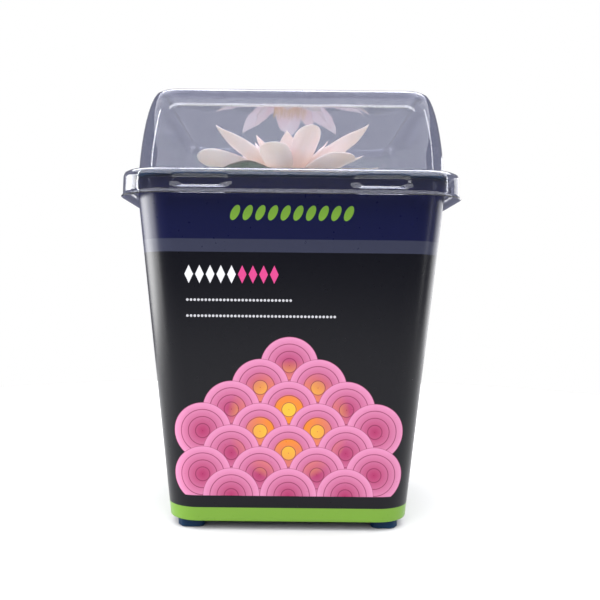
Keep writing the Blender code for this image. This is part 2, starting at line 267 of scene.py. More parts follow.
class Finish:
    """One Principled material, with short ways to read places, draw noise and lay colours over each other."""

    def __init__(self, name, roughness, **values):
        self.material = bpy.data.materials.new(name)
        self.material.use_nodes = True
        self.tree = self.material.node_tree
        self.shader = self.tree.nodes["Principled BSDF"]
        self.shader.inputs["Roughness"].default_value = roughness
        for socket, value in values.items():
            self.shader.inputs[socket.replace("_", " ")].default_value = value

    def place(self, source="Object"):
        coordinates = self.tree.nodes.new("ShaderNodeTexCoord")
        split = self.tree.nodes.new("ShaderNodeSeparateXYZ")
        self.tree.links.new(coordinates.outputs[source], split.inputs[0])
        return [Reading(split.outputs[axis]) for axis in "XYZ"]

    def noise(self, per_metre, detail=3.0, stretch=(1.0, 1.0, 1.0), source="Object"):
        coordinates = self.tree.nodes.new("ShaderNodeTexCoord")
        mapping = self.tree.nodes.new("ShaderNodeMapping")
        mapping.inputs["Scale"].default_value = [per_metre * share for share in stretch]
        cloud = self.tree.nodes.new("ShaderNodeTexNoise")
        cloud.inputs["Scale"].default_value = 1.0
        cloud.inputs["Detail"].default_value = detail
        self.tree.links.new(coordinates.outputs[source], mapping.inputs["Vector"])
        self.tree.links.new(mapping.outputs["Vector"], cloud.inputs["Vector"])
        return Reading(cloud.outputs["Fac"])

    def attribute(self, name):
        node = self.tree.nodes.new("ShaderNodeAttribute")
        node.attribute_name = name
        return Reading(node.outputs["Fac"])

    def lay(self, under, over, share):
        """One colour over another, each a triple or a socket."""
        node = self.tree.nodes.new("ShaderNodeMix")
        node.data_type = "RGBA"
        entries = [entry for entry in node.inputs if entry.type == "RGBA"]
        for entry, colour in zip(entries, (under, over)):
            if isinstance(colour, tuple):
                entry.default_value = (*colour, 1.0)
            else:
                self.tree.links.new(colour, entry)
        self.tree.links.new(share.socket, node.inputs["Factor"])
        return next(entry for entry in node.outputs if entry.type == "RGBA")

    def colour(self, socket):
        self.tree.links.new(socket, self.shader.inputs["Base Color"])

    def roughness(self, reading):
        self.tree.links.new(reading.socket, self.shader.inputs["Roughness"])

    def bump(self, reading, height, strength=1.0):
        node = self.tree.nodes.new("ShaderNodeBump")
        node.inputs["Distance"].default_value = height
        node.inputs["Strength"].default_value = strength
        self.tree.links.new(reading.socket, node.inputs["Height"])
        self.tree.links.new(node.outputs["Normal"], self.shader.inputs["Normal"])


def hand_in(piece, name, slot, finish, *replaced):
    """Names a finished piece, gives it its finish, and puts it on the body in place of its CAD nodes."""
    piece.name = piece.data.name = name
    piece.data.materials.clear()
    piece.data.materials.append(finish.material)
    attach(piece, "root")
    if replaced:
        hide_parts(*replaced)


def make_tub():
    inset = SLEEVE_WALL + CLEARANCE
    head = tapered_level(TUB_RIM_TOP - TUB_WALL, inset)
    rim_half = TUB_RIM_HALF - TUB_WALL
    rim_corner = head[1] + rim_half - head[0]
    levels = (
        (0.0575, 0.0140, TUB_FLOOR),
        (0.0597, 0.0155, TUB_FLOOR + 0.0010),
        tapered_level(TUB_FLOOR + 0.0032, inset),
        head,
        (rim_half, rim_corner, head[2] + 0.00001),
        (rim_half, rim_corner, TUB_RIM_TOP - TUB_RIM_HANG),
    )
    tub = square_skin("tub", levels, closed_end_faces_up=False)
    add_modifier(tub, "BEVEL", width=0.0005, segments=3, limit_method="ANGLE", angle_limit=math.radians(15))
    add_modifier(tub, "SOLIDIFY", thickness=TUB_WALL, offset=-1.0, use_even_offset=True)
    long, wide, corner = PAD_OF_FOOT
    near, far = PLACE_OF_FOOT
    foot_tall = TUB_FLOOR + 0.7 * TUB_WALL
    # The second pad of a corner ends a little higher, so that the two share no face.
    pads = (((long, wide), near, far, 0.0), ((wide, long), far, near, 0.0002))
    for side_x in (-1, 1):
        for side_y in (-1, 1):
            for plan, x, y, lowest in pads:
                middle = (x * side_x, y * side_y, (foot_tall + lowest) / 2)
                pad = rounded_block((*plan, foot_tall - lowest), middle, corner, segments=6)
                edit(pad)
                pick("FACE", lambda face: face.normal.z < -0.9)
                bpy.ops.mesh.inset(thickness=FOOT_CHAMFER)
                pick("VERT", lambda vert: vert.co.z < lowest + 0.0001 and any(
                    len(e.link_faces) == 2 and abs(e.verts[0].co.z - e.verts[1].co.z) > 0.001
                    for e in vert.link_edges))
                bpy.ops.transform.translate(value=(0.0, 0.0, FOOT_CHAMFER))
                leave_edit()
                join_or_cut(tub, pad, "UNION")
    for side in (-1, 1):
        for column in range(SLOT_COLUMNS):
            middle = ((column - (SLOT_COLUMNS - 1) / 2) * SLOT_PITCH, side * SLOT_ROW, TUB_FLOOR)
            size = (SLOT_WIDE, SLOT_LONG, 6 * TUB_WALL)
            cutter = rounded_block(size, middle, 0.49 * SLOT_WIDE, segments=6)
            join_or_cut(tub, cutter, "DIFFERENCE")
    smooth(tub, 35)
    return tub


def blue_plastic():
    finish = Finish("blue_plastic", 0.34, Specular_IOR_Level=0.15)
    shade = finish.noise(60.0, detail=2.0)
    finish.colour(finish.lay((0.0012, 0.0150, 0.042), (0.0020, 0.0200, 0.056), shade))
    finish.roughness(finish.noise(900.0) * 0.16 + 0.27)
    finish.bump(finish.noise(2600.0, detail=2.0), 0.00002)
    return finish


hand_in(make_tub(), "moulded_tub", "blue_plastic", blue_plastic(), "tub")


# Sleeve: a printed wrap of semi-gloss card, pushed up over the tub's taper. The print has colour bands
# all round, with an ornament in pinks on black on the front and back.
BAND_BLUE_FROM = 0.1456
BAND_SLATE_FROM = 0.1393
BAND_GREEN_TO = 0.0118
NAVY = (0.0022, 0.0034, 0.0255)
SLATE = (0.0225, 0.0250, 0.0450)
BLACK = (0.0004, 0.0005, 0.0023)
GREEN = (0.1150, 0.2300, 0.0250)
PRINT_EDGE = 0.0002


def make_sleeve():
    levels = [tapered_level(SLEEVE_FOOT, 0.0)]
    levels += [tapered_level(height, 0.0) for height in (0.0060, 0.0500, 0.1000, 0.1500, 0.1744, SLEEVE_TOP)]
    sleeve = square_skin("sleeve", levels, closed_end_faces_up=False, steps=18)
    edit(sleeve)
    pick("FACE", lambda face: len(face.verts) > 4)
    bpy.ops.mesh.delete(type="ONLY_FACE")
    leave_edit()
    add_modifier(sleeve, "SOLIDIFY", thickness=SLEEVE_WALL, offset=-1.0, use_even_offset=True)
    add_modifier(sleeve, "BEVEL", width=0.00012, segments=2, limit_method="ANGLE",
                 angle_limit=math.radians(60))
    smooth(sleeve, 30)
    return sleeve


def printed_card():
    finish = Finish("printed_card", 0.30, Specular_IOR_Level=0.24)
    x, y, z = finish.place()
    # The back repeats the front's print the right way round.
    x = x * -y.math("SIGN")
    ink = finish.lay(GREEN, BLACK, (-z).below(-BAND_GREEN_TO, PRINT_EDGE))
    ink = draw_scallops(finish, ink, x, z)
    ink = draw_rules(finish, ink, x, z)
    ink = finish.lay(ink, SLATE, (-z).below(-BAND_SLATE_FROM, PRINT_EDGE))
    ink = finish.lay(ink, NAVY, (-z).below(-BAND_BLUE_FROM, PRINT_EDGE))
    ink = draw_leaf_row(finish, ink, x, z)
    finish.colour(ink)
    finish.roughness(finish.noise(500.0) * 0.08 + 0.25)
    finish.bump(finish.noise(1500.0, detail=4.0), 0.000012)
    return finish


SCALLOP = 0.01425
SCALLOP_ROWS = (1, 2, 3, 4, 3, 4, 3)  # how many stand in each row, from the top
ROW_STEP = 0.0110
LOWEST_ROW = 0.0180
GLOW_HEIGHT, GLOW_REACH, GLOW_SOFT = 0.0560, 0.0200, 0.0220


def draw_scallops(finish, ink, x, z):
    """Rows of overlapping ringed scallops in pinks, an old wave pattern, which glow yellow in the middle."""
    from_middle = z - GLOW_HEIGHT
    glow = (x * x + from_middle * from_middle) ** 0.5
    glow = glow.below(GLOW_REACH, GLOW_SOFT)
    above = (-z).below(-LOWEST_ROW, PRINT_EDGE)
    for row, count in enumerate(SCALLOP_ROWS):
        up = z - (LOWEST_ROW + ROW_STEP * (len(SCALLOP_ROWS) - 1 - row))
        shift = 0.5 * (count % 2)
        across = ((x / (2 * SCALLOP) + shift).math("FRACT") - 0.5) * (2 * SCALLOP)
        reach = (across * across + up * up) ** 0.5 / SCALLOP
        shape = reach.below(1.0, 0.015) * abs(x).below(count * SCALLOP, PRINT_EDGE) * above
        rose = finish.lay((0.258, 0.019, 0.081), (0.480, 0.180, 0.309), reach ** 1.3)
        rose = finish.lay(rose, (0.515, 0.154, 0.012), reach.below(0.52, 0.05) * glow)
        rose = finish.lay(rose, (0.550, 0.309, 0.026), reach.below(0.26, 0.05) * glow)
        groove = abs((reach * 4.0).math("FRACT") - 0.5)
        rose = finish.lay(rose, (0.121, 0.007, 0.038), (-groove).below(-0.44, 0.05) * 0.8)
        ink = finish.lay(ink, rose, shape)
    return ink


def row_place(x, start, pitch):
    """Distance along a row from the middle of the nearest of its marks."""
    return (((x - start) / pitch).math("FRACT") - 0.5) * pitch


LOZENGE_HEIGHT, LOZENGE_PITCH = 0.1285, 0.0052
LOZENGE_HALF = (0.0021, 0.0044)
LOZENGES_FROM, WHITE_TO, PINK_TO = -0.0520, -0.0260, -0.0052
RULES = ((0.1160, 0.0010), (0.1082, 0.0226))  # height and right end of each
RULES_FROM, DOT_PITCH, DOT_RADIUS = -0.0510, 0.0018, 0.00062


def draw_rules(finish, ink, x, z):
    """A short row of lozenges, white and then pink, over two dotted rules."""
    across = row_place(x, LOZENGES_FROM, LOZENGE_PITCH)
    up = z - LOZENGE_HEIGHT
    lozenge = (abs(across) / LOZENGE_HALF[0] + abs(up) / LOZENGE_HALF[1]).below(1.0, 0.08)
    white = lozenge * x.between(LOZENGES_FROM, WHITE_TO, PRINT_EDGE)
    pink = lozenge * x.between(WHITE_TO, PINK_TO, PRINT_EDGE)
    ink = finish.lay(ink, (0.532, 0.532, 0.550), white)
    ink = finish.lay(ink, (0.447, 0.043, 0.164), pink)
    for height, end in RULES:
        dot = row_place(x, RULES_FROM, DOT_PITCH)
        dot = (dot * dot + (z - height) * (z - height)) ** 0.5
        dot = dot.below(DOT_RADIUS, PRINT_EDGE) * x.between(RULES_FROM, end, PRINT_EDGE)
        ink = finish.lay(ink, (0.386, 0.386, 0.404), dot)
    return ink


LEAF_HEIGHT, LEAF_PITCH, LEAF_SLANT = 0.1582, 0.0061, 0.35
LEAF_HALF = (0.0021, 0.0036)
LEAVES_FROM, LEAVES_TO = -0.0300, 0.0310


def draw_leaf_row(finish, ink, x, z):
    """A row of small slanted leaves in the green of the foot band."""
    up = z - LEAF_HEIGHT
    across = (row_place(x, LEAVES_FROM, LEAF_PITCH) - up * LEAF_SLANT) / LEAF_HALF[0]
    up = up / LEAF_HALF[1]
    leaf = (across * across + up * up).below(1.0, 0.10)
    return finish.lay(ink, GREEN, leaf * x.between(LEAVES_FROM, LEAVES_TO, PRINT_EDGE))


hand_in(make_sleeve(), "printed_wrap", "printed_sleeve", printed_card(), "sleeve")


# Coconut fibre: the tub is packed to under the lid's skirt with damp coir, pressed into a block.
# Loose fibres lie criss-cross on its lumpy top.
COIR_TOP = 0.1500
FIBRES = 1500
FIBRE_KINDS = 8
FIBRE_INSET = 0.010  # how far the fibres stay from the wall


def cloud_texture(name, size, depth=2):
    texture = bpy.data.textures.new(name, "CLOUDS")
    texture.noise_scale = size
    texture.noise_depth = depth
    return texture


def make_coir():
    coir = frame["nodes"]["coir_fill"].copy()
    coir.data = coir.data.copy()
    bpy.context.scene.collection.objects.link(coir)
    coir.parent = None
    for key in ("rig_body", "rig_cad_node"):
        del coir[key]
    edit(coir)
    bpy.ops.mesh.select_all(action="SELECT")
    bpy.ops.mesh.remove_doubles(threshold=0.00001)
    leave_edit()
    add_modifier(coir, "REMESH", mode="VOXEL", voxel_size=0.0022)
    coarse, fine = cloud_texture("coir_lumps", 0.012), cloud_texture("coir_crumbs", 0.003)
    add_modifier(coir, "DISPLACE", texture=coarse, texture_coords="LOCAL", strength=0.0010, mid_level=0.9)
    add_modifier(coir, "DISPLACE", texture=fine, texture_coords="LOCAL", strength=0.0016, mid_level=0.9)
    smooth(coir, 60)
    return coir


def tube(name, points, radius, resolution, sides):
    """A round tube along a smooth curve through (point, handle) pairs, as a mesh."""
    bpy.ops.object.select_all(action="DESELECT")
    bpy.ops.curve.primitive_bezier_curve_add(radius=1.0)
    line = bpy.context.object
    line.name = name
    line.data.dimensions = "3D"
    knots = line.data.splines[0].bezier_points
    knots.add(len(points) - 2)
    for knot, (point, handle) in zip(knots, points):
        knot.handle_left_type = knot.handle_right_type = "FREE"
        knot.co = point
        knot.handle_left = point - handle
        knot.handle_right = point + handle
        knot.radius = 1.0
    line.data.resolution_u = resolution
    line.data.bevel_depth = radius
    line.data.bevel_resolution = sides
    line.data.use_fill_caps = True
    select_only(line)
    bpy.ops.object.convert(target="MESH")
    line = bpy.context.object
    edit(line)
    bpy.ops.mesh.select_all(action="SELECT")
    bpy.ops.mesh.remove_doubles(threshold=0.000002)
    leave_edit()
    return line


def make_fibres(coir):
    """A few bent hairs, copied many times over the top of the block into one mesh."""
    draw = random.Random(11)
    kinds = []
    for kind in range(FIBRE_KINDS):
        length = draw.uniform(0.007, 0.019)
        ends = []
        for side in (-1, 1):
            bend = Vector((0.3 * length, draw.uniform(-0.3, 0.3) * length, draw.uniform(0.0, 0.10) * length))
            ends.append((Vector((side * length / 2, 0.0, 0.0)), bend))
        kinds.append(tube("hair", ends, draw.uniform(0.00009, 0.00020), 4, 0))
    bundle = bmesh.new()
    shade_layer = bundle.faces.layers.float.new("fibre_shade")
    surface = coir.closest_point_on_mesh
    reach = taper(SLEEVE_HALF, COIR_TOP) - FIBRE_INSET
    for _ in range(FIBRES):
        x, y = draw.uniform(-reach, reach), draw.uniform(-reach, reach)
        _, ground, normal, _ = surface(Vector((x, y, COIR_TOP + 0.004)))
        lie = Matrix.Translation(ground + normal * draw.uniform(0.0, 0.0012))
        lie = lie @ normal.to_track_quat("Z", "Y").to_matrix().to_4x4()
        lie = lie @ Matrix.Rotation(draw.uniform(0, math.tau), 4, "Z")
        lie = lie @ Matrix.Rotation(draw.gauss(0, 0.12), 4, "Y")
        before = len(bundle.faces)
        bundle.from_mesh(draw.choice(kinds).data)
        bundle.verts.ensure_lookup_table()
        bundle.faces.ensure_lookup_table()
        new_faces = bundle.faces[before:]
        shade = draw.random()
        corners = {vert for face in new_faces for vert in face.verts}
        for face in new_faces:
            face[shade_layer] = shade
            face.smooth = True
        for vert in corners:
            vert.co = lie @ vert.co
    mesh = bpy.data.meshes.new("fibres")
    bundle.to_mesh(mesh)
    bundle.free()
    fibres = bpy.data.objects.new("fibres", mesh)
    bpy.context.scene.collection.objects.link(fibres)
    for kind in kinds:
        bpy.data.objects.remove(kind)
    return fibres


def coir_finish():
    finish = Finish("pressed_coir", 0.95)
    crumb = finish.noise(420.0, detail=8.0)
    streak = finish.noise(1.0, detail=6.0, stretch=(900.0, 160.0, 400.0))
    brown = finish.lay((0.018, 0.009, 0.004), (0.115, 0.055, 0.022), crumb)
    finish.colour(finish.lay(brown, (0.200, 0.105, 0.045), streak ** 4.0))
    finish.bump(crumb + streak, 0.0006)
    return finish


def fibre_finish():
    finish = Finish("coconut_fibre", 0.70)
    shade = finish.attribute("fibre_shade")
    finish.colour(finish.lay((0.060, 0.026, 0.010), (0.360, 0.195, 0.080), shade))
    finish.bump(finish.noise(3000.0), 0.00004)
    return finish


coir_block = make_coir()
fibres = make_fibres(coir_block)
hand_in(coir_block, "pressed_fibre_block", "coir", coir_finish(), "coir_fill")
hand_in(fibres, "loose_fibres", "coir", fibre_finish())


# Rootstock: a short, thick, knobbly rhizome that lies half bedded in the hollow of the coir. Fine roots
# run from it into the fibre.
RHIZOME_RADII = Vector((0.0150, 0.0110, 0.0068))
COIR_MIDDLE = 0.1470  # the floor of the coir's hollow
RHIZOME_MIDDLE = Vector((0.0, 0.0, COIR_MIDDLE + RHIZOME_RADII.z + 3 * CLEARANCE))
ROOTS = 22


def make_rhizome():
    bpy.ops.object.select_all(action="DESELECT")
    bpy.ops.mesh.primitive_ico_sphere_add(subdivisions=5, radius=1.0, location=RHIZOME_MIDDLE)
    rhizome = bpy.context.object
    rhizome.scale = RHIZOME_RADII * 0.97
    apply_place(rhizome)
    knobs = bpy.data.textures.new("rhizome_knobs", "VORONOI")
    knobs.noise_scale = 0.0045
    add_modifier(rhizome, "DISPLACE", texture=knobs, texture_coords="LOCAL", strength=-0.0013, mid_level=0.3)
    wrinkles = cloud_texture("rhizome_wrinkles", 0.0016)
    add_modifier(rhizome, "DISPLACE", texture=wrinkles, texture_coords="LOCAL", strength=0.0003,
                 mid_level=0.5)
    smooth(rhizome, 180)
    return rhizome


def make_roots():
    draw = random.Random(5)
    roots = []
    for number in range(ROOTS):
        turn = math.tau * number / ROOTS + draw.uniform(-0.12, 0.12)
        out = Vector((math.cos(turn), math.sin(turn), 0.0))
        start = RHIZOME_MIDDLE + Vector((out.x * 0.0125, out.y * 0.0090, -0.0022))
        length = draw.uniform(0.008, 0.020)
        end = start + out * length + Vector((0.0, 0.0, -0.0045))
        side = Vector((-out.y, out.x, 0.0)) * draw.uniform(-0.4, 0.4) * length
        path = ((start, out * 0.3 * length + Vector((0, 0, 0.001))), (end, out * 0.3 * length + side))
        roots.append(tube("root", path, draw.uniform(0.0003, 0.0006), 6, 1))
    select_only(*roots)
    bpy.ops.object.join()
    smooth(roots[0], 60)
    return roots[0]


def root_finish():
    finish = Finish("rootstock_bark", 0.75)
    patch = finish.noise(260.0, detail=6.0)
    brown = finish.lay((0.020, 0.013, 0.007), (0.130, 0.085, 0.040), patch)
    finish.colour(finish.lay(brown, (0.090, 0.110, 0.030), finish.noise(90.0) ** 3.0))
    finish.roughness(patch * 0.3 + 0.5)
    finish.bump(patch, 0.0004)
    return finish


bark = root_finish()
hand_in(make_rhizome(), "knobbly_rootstock", "root", bark, "rhizome")
hand_in(make_roots(), "fine_roots", "root", bark)


# Lily pads: four round floating leaves, each on its own soft stalk, under the lid.
# A pad is a thin waxy blade with a slit to its stalk, sunken veins and a rim that waves a little.
PAD_THICKNESS = 0.0008
PAD_SLIT = 20
LEAF_STALK_RADIUS = 0.0013
PAD_SPOKES = 85
PAD_SPOKE_TURN = math.radians(360 - PAD_SLIT) / (PAD_SPOKES - 1)
PAD_VEIN_STEP = 7  # spokes from one vein to the next
PAD_RINGS = 9
PADS = {
    # name: (middle, radius, lean about X in degrees, lean about Y, where the slit points)
    "pad_front": (Vector((-0.0185, -0.0435, 0.1755)), 0.0200, -25, 13, 80),
    "pad_right": (Vector((0.0430, -0.0060, 0.1735)), 0.0280, 3, -9, 20),
    "pad_back": (Vector((-0.0020, 0.0440, 0.1760)), 0.0275, -7, 3, 95),
    "pad_left": (Vector((-0.0460, 0.0120, 0.1700)), 0.0260, 2, 8, 200),
}


def make_pad(name):
    middle, radius, lean_x, lean_y, slit = PADS[name]
    bpy.ops.object.select_all(action="DESELECT")
    bpy.ops.mesh.primitive_grid_add(x_subdivisions=PAD_RINGS, y_subdivisions=1, size=2.0)
    pad = bpy.context.object
    edit(pad)
    pick("VERT", lambda vert: vert.co.y > 0)
    bpy.ops.mesh.delete(type="VERT")
    bpy.ops.mesh.select_all(action="SELECT")
    bpy.ops.transform.translate(value=(1.0, 1.0, 0.0))
    bpy.ops.transform.resize(value=(0.5, 1.0, 1.0), center_override=(0.0, 0.0, 0.0))
    shares = [ring / PAD_RINGS for ring in range(PAD_RINGS + 1)]
    for share in shares:
        pick("VERT", lambda vert: abs(vert.co.x - share) < 0.01)
        bpy.ops.transform.translate(value=(0.0, 0.0, 0.10 * share**2))
    bpy.ops.mesh.select_all(action="SELECT")
    turn = math.radians(360 - PAD_SLIT)
    bpy.ops.mesh.spin(steps=PAD_SPOKES - 1, angle=turn, center=(0.0, 0.0, 0.0), axis=(0.0, 0.0, 1.0))
    bpy.ops.mesh.select_all(action="SELECT")
    bpy.ops.mesh.remove_doubles(threshold=0.0005)
    bpy.ops.mesh.normals_make_consistent(inside=False)
    shape = bmesh.from_edit_mesh(pad.data)
    shape.faces.ensure_lookup_table()
    if shape.faces[0].normal.z < 0:
        bpy.ops.mesh.flip_normals()
    shape_pad(pad)
    leave_edit()
    unwrap_flat(pad)
    add_modifier(pad, "SOLIDIFY", thickness=PAD_THICKNESS / radius * 0.8, offset=0.0)
    pad.scale = (radius, radius, radius)
    apply_place(pad)
    pad.location = middle
    pad.rotation_mode = "ZYX"
    pad.rotation_euler = [math.radians(angle) for angle in (lean_x, lean_y, slit + PAD_SLIT / 2)]
    square = pad.rotation_euler.to_matrix() @ Vector((0.0, 0.0, 1.0))
    apply_place(pad)
    waves = cloud_texture(f"{name}_waves", 0.016, depth=0)
    add_modifier(pad, "DISPLACE", texture=waves, texture_coords="GLOBAL", direction="Z",
                 strength=0.0016, mid_level=0.5)
    add_modifier(pad, "SUBSURF", levels=1, render_levels=1)
    smooth(pad, 180)
    return pad, square


def shape_pad(pad):
    """Sinks the veins, waves the rim and rounds the two lobes beside the slit."""
    shape = bmesh.from_edit_mesh(pad.data)
    for vert in shape.verts:
        reach = vert.co.xy.length
        if reach < 0.02:
            continue
        spoke = round((math.atan2(vert.co.y, vert.co.x) % math.tau) / PAD_SPOKE_TURN)
        from_slit = min(spoke, PAD_SPOKES - 1 - spoke)
        if spoke % PAD_VEIN_STEP == 0:
            vert.co.z -= 0.011 * (1 - 0.6 * reach)
        vert.co.z += 0.020 * reach**3 * math.sin(spoke * 0.47)
        lobe = max(0.0, 1 - from_slit / 5)
        vert.co.xy *= 1 - 0.13 * reach**3 * lobe**2
    bmesh.update_edit_mesh(pad.data)


def unwrap_flat(piece):
    """A UV map that is the piece seen from above before it is placed."""
    uv = piece.data.uv_layers.new(name="plan") if not piece.data.uv_layers else piece.data.uv_layers[0]
    for loop in piece.data.loops:
        corner = piece.data.vertices[loop.vertex_index].co
        uv.data[loop.index].uv = corner.xy


def pad_finish():
    finish = Finish("waxy_pad_green", 0.38, Subsurface_Weight=0.12, Coat_Weight=0.15, Coat_Roughness=0.25)
    finish.shader.inputs["Subsurface Radius"].default_value = (0.0012, 0.0025, 0.0008)
    u, v, _ = finish.place("UV")
    reach = (u * u + v * v) ** 0.5
    vein_turn = PAD_SPOKE_TURN * PAD_VEIN_STEP
    turn = v.math("ARCTAN2", u)
    place = abs((turn / vein_turn + 0.5).math("FRACT") - 0.5) * vein_turn * reach
    vein = place.below(0.012, 0.02)
    mottle = finish.noise(130.0, detail=5.0)
    green = finish.lay((0.024, 0.105, 0.030), (0.066, 0.220, 0.058), mottle)
    green = finish.lay(green, (0.110, 0.230, 0.080), vein * 0.7)
    finish.colour(finish.lay(green, (0.120, 0.060, 0.035), (-reach).below(-0.965, 0.05) * 0.7))
    finish.roughness(mottle * 0.2 + 0.28)
    finish.bump(finish.noise(900.0, detail=4.0) * 0.6 + mottle, 0.0002)
    return finish


def stalk_path(head, head_direction):
    """A stalk leaves the rootstock square to it, and ends square to what it carries."""
    steepness = 0.060
    towards = Vector((head.x, head.y, steepness)).normalized()
    foot = RHIZOME_MIDDLE + Vector(r * t for r, t in zip(RHIZOME_RADII, towards))
    square = Vector(t / r for r, t in zip(RHIZOME_RADII, towards)).normalized()
    foot += square * CLEARANCE
    span = (head - foot).length
    return ((foot - square * 0.0008, square * 0.15 * span), (head, head_direction * 0.45 * span))


def stalk_finish():
    finish = Finish("soft_stalk", 0.45, Subsurface_Weight=0.1)
    finish.shader.inputs["Subsurface Radius"].default_value = (0.001, 0.001, 0.0005)
    streak = finish.noise(1.0, detail=4.0, stretch=(1500.0, 1500.0, 60.0))
    green = finish.lay((0.120, 0.150, 0.040), (0.260, 0.240, 0.090), streak)
    finish.colour(finish.lay(green, (0.200, 0.070, 0.040), finish.noise(70.0) ** 2.5))
    finish.bump(streak, 0.00015)
    return finish


waxy_green, soft_stalk = pad_finish(), stalk_finish()
for pad_name in PADS:
    blade, square = make_pad(pad_name)
    head = PADS[pad_name][0] - square * (PAD_THICKNESS / 2)
    stalk = tube("stalk", stalk_path(head, square), LEAF_STALK_RADIUS, 14, 3)
    smooth(stalk, 60)
    hand_in(blade, f"{pad_name}_blade", "pad_green", waxy_green, pad_name)
    hand_in(stalk, f"{pad_name}_soft_stalk", "stalk_green", soft_stalk, f"{pad_name}_stalk")


# Flower stalk and receptacle: a thicker stalk carries a small turned cup, to which the sepals, petals
# and stamens are fixed in rings.
FLOWER_FOOT = Vector((-0.0010, -0.0100, 0.1815))
FLOWER_STALK_RADIUS = 0.0020
RECEPTACLE_TOP = 0.0085
RECEPTACLE = (
    # (radius, height above the flower's foot)
    (0.0, 0.0085), (0.0030, 0.0085), (0.0048, 0.0084), (0.0056, 0.0072), (0.0060, 0.0056),
    (0.0067, 0.0040), (0.0067, 0.0028), (0.0062, 0.0014), (0.0044, 0.0005), (0.0024, 0.0), (0.0, 0.0),
)


def make_receptacle():
    bpy.ops.object.select_all(action="DESELECT")
    bpy.ops.mesh.primitive_grid_add(x_subdivisions=len(RECEPTACLE) - 1, y_subdivisions=1, size=2.0)
    cup = bpy.context.object
    edit(cup)
    pick("VERT", lambda vert: vert.co.y > 0)
    bpy.ops.mesh.delete(type="VERT")
    shape = bmesh.from_edit_mesh(cup.data)
    line = sorted(shape.verts, key=lambda vert: vert.co.x)
    for vert, (radius, height) in zip(line, RECEPTACLE):
        vert.co = FLOWER_FOOT + Vector((radius, 0.0, height))
    bmesh.update_edit_mesh(cup.data)
    bpy.ops.mesh.select_all(action="SELECT")
    bpy.ops.mesh.spin(steps=32, angle=math.tau, center=FLOWER_FOOT, axis=(0.0, 0.0, 1.0))
    bpy.ops.mesh.select_all(action="SELECT")
    bpy.ops.mesh.remove_doubles(threshold=0.00002)
    bpy.ops.mesh.normals_make_consistent(inside=False)
    leave_edit()
    smooth(cup, 60)
    return cup


flower_head = FLOWER_FOOT - Vector((0.0, 0.0, CLEARANCE))
flower_stalk = tube("stalk", stalk_path(flower_head, Vector((0.0, 0.0, 1.0))), FLOWER_STALK_RADIUS, 16, 4)
smooth(flower_stalk, 60)
hand_in(flower_stalk, "flower_soft_stalk", "stalk_green", soft_stalk, "flower_stalk")
hand_in(make_receptacle(), "turned_receptacle", "sepal_green", soft_stalk, "receptacle")


# Petals and sepals: thin, fleshy, boat-shaped blades in four rings, the sepals greener than the petals.
# Two blanks, one with a pointed end and one with a round end, are copied, bent and placed for each.
PETAL_THICKNESS = 0.0007
PETAL_ROWS = 22
PETAL_COLUMNS = 8
ROUND_ENDED = ("outer_petal_1", "outer_petal_2", "middle_petal_2", "outer_petal_3")
WHORLS = {
    # name: (height above the flower's foot, distance from its axis,
    #        (bearing, rise and roll in degrees, length and width in millimetres) of each petal)
    "sepal": (0.0022, 0.0073, (
        (238, 2, 0, 44, 15), (330, 4, -4, 48, 15), (57, 3, 0, 44, 15), (147, 2, 0, 45, 15))),
    "outer_petal": (0.0040, 0.0074, (
        (199, 13, 34, 48, 16), (255, 21, 6, 36, 17), (311, 10, -10, 43, 17), (351, 8, 0, 44, 15),
        (30, 12, 0, 44, 15), (72, 13, 0, 44, 15), (114, 13, 0, 44, 15), (158, 9, 0, 44, 15))),
    "middle_petal": (0.0060, 0.0067, (
        (213, 29, 10, 47, 14), (293, 42, 0, 34, 16), (327, 28, -14, 50, 13), (11, 21, 0, 40, 14),
        (50, 28, 0, 43, 14), (91, 29, 0, 43, 14), (132, 28, 0, 43, 14), (172, 21, 0, 40, 14))),
    "inner_petal": (0.0079, 0.0059, (
        (266, 48, 0, 26, 10), (331, 33, -12, 29, 8), (5, 50, 0, 25, 10), (54, 50, 0, 26, 10),
        (104, 52, 0, 25, 10), (155, 50, 0, 26, 10), (209, 51, 0, 25, 10))),
}


def half_width(along, round_end):
    """A petal's half width, as a share of its widest, from its claw at 0 to its tip at 1."""
    widest = 0.62 if round_end else 0.50
    if along < widest:
        return 0.26 + 0.74 * math.sin(math.pi / 2 * along / widest)
    past = (along - widest) / (1 - widest)
    return math.sqrt(max(0.0, 1 - past**2.6)) if round_end else (1 - past**2.2) ** 1.15


def petal_blank(name, round_end):
    """A flat blade that stands on its claw in the XZ plane, 1 high and 1 wide."""
    bpy.ops.object.select_all(action="DESELECT")
    bpy.ops.mesh.primitive_grid_add(x_subdivisions=PETAL_COLUMNS, y_subdivisions=PETAL_ROWS, size=1.0,
                                    location=(0.0, 0.0, 0.5), rotation=(math.pi / 2, 0.0, 0.0))
    blank = bpy.context.object
    blank.name = name
    apply_place(blank)
    edit(blank)
    rows = [row / PETAL_ROWS for row in range(PETAL_ROWS + 1)]
    for row in reversed(rows):
        # The rows crowd towards the tip, where the outline turns fastest.
        along = 1 - (1 - row) ** 1.5
        pick("VERT", lambda vert: abs(vert.co.z - row) < 0.2 / PETAL_ROWS)
        width = max(half_width(along, round_end), 0.03)
        bpy.ops.transform.resize(value=(width, 1.0, 1.0), center_override=(0.0, 0.0, row))
        bpy.ops.transform.translate(value=(0.0, 0.0, along - row))
    leave_edit()
    return blank


